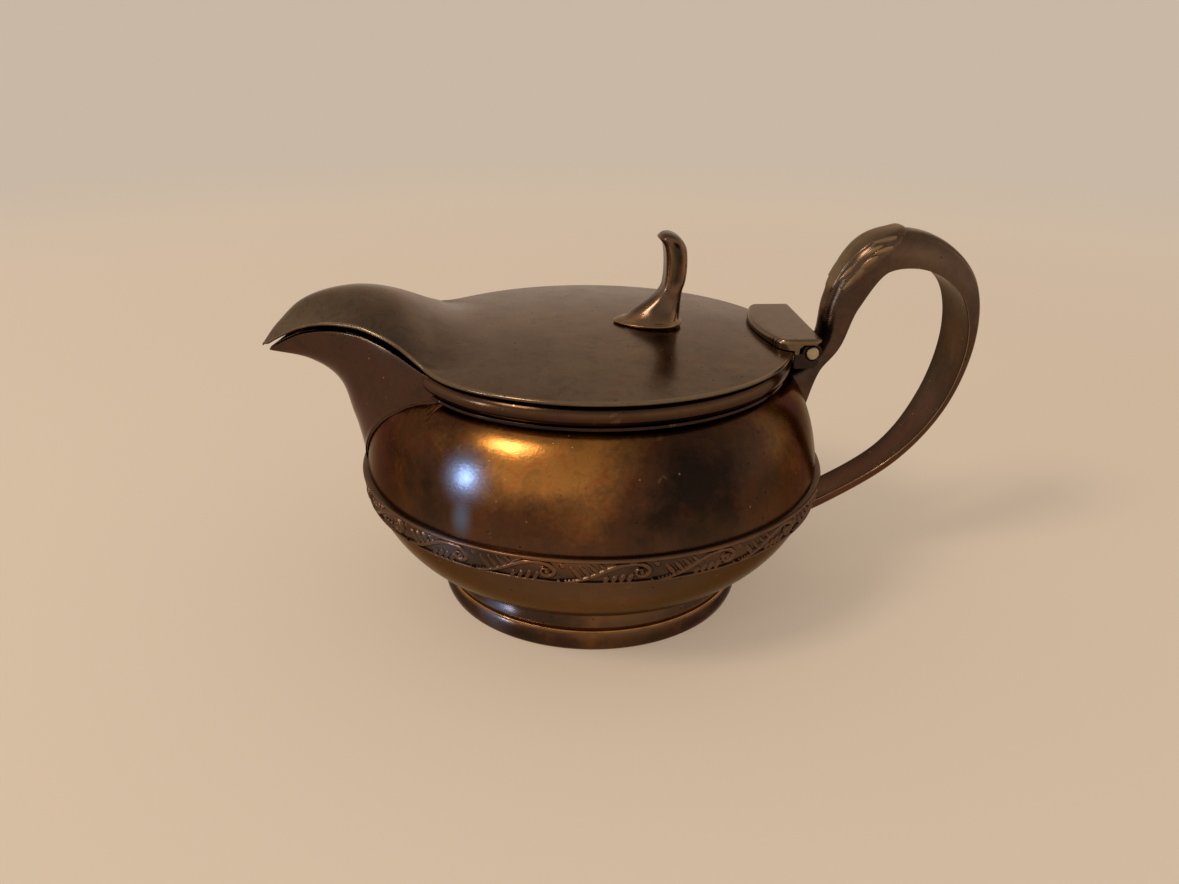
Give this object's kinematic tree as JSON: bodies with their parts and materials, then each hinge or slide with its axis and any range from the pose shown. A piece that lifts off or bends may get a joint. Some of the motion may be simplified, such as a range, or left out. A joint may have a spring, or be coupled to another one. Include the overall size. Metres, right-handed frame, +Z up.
{
  "type": "covered creamer",
  "caption": "Low round covered creamer with beak spout, hinged hooded lid, scroll finial, strap handle, stepped foot and a running leaf-scroll band.",
  "frame": {"origin": "middle of the bounding box at the plane the foot stands on", "axes": "+X from the spout towards the handle, +Y away from the side that faces the viewer of the picture, +Z up"},
  "size_m": [0.1376, 0.091, 0.073],
  "materials": {
    "tarnished_plate_bowl": "silver plate under a dark brown tarnish with amber and violet tints, satin to glossy",
    "tarnished_plate_foot": "the bowl's tarnished plate, rubbed brighter on its edges",
    "tarnished_plate_rim": "tarnished plate, bright along the crown of the bead",
    "tarnished_plate_spout": "tarnished plate, grey-brown with reddish tints",
    "rolled_band": "rolled relief with dark tarnish in its hollows and rubbed high points",
    "cast_handle": "cast metal under plate, brown tarnish, satin",
    "hinge_metal": "tarnished plate, dark in the gaps",
    "pin_metal": "pale worn metal on its ends",
    "worn_plate_lid": "grey-brown worn plate, satin mirror with fine specks",
    "worn_plate_leaf": "grey-brown worn plate, bright along its edges",
    "cast_finial": "cast metal under plate, brown-grey tarnish, satin"
  },
  "bodies": {
    "jug": {"body_bowl": "tarnished_plate_bowl", "foot_ring": "tarnished_plate_foot", "rim_moulding": "tarnished_plate_rim", "ornament_band": "rolled_band", "spout": "tarnished_plate_spout", "handle": "cast_handle", "hinge_bracket": "hinge_metal", "hinge_pin": "pin_metal"},
    "lid": {"lid_plate": "worn_plate_lid", "lid_knuckle": "hinge_metal", "hinge_leaf": "worn_plate_leaf", "finial": "cast_finial"}
  },
  "joints": [
    {"name": "lid_hinge", "type": "hinge", "parent": "jug", "child": "lid", "pos_m": [0.03387, 0, 0.0514], "axis": [0, 1, 0], "range_deg": [0, 90]}
  ]
}
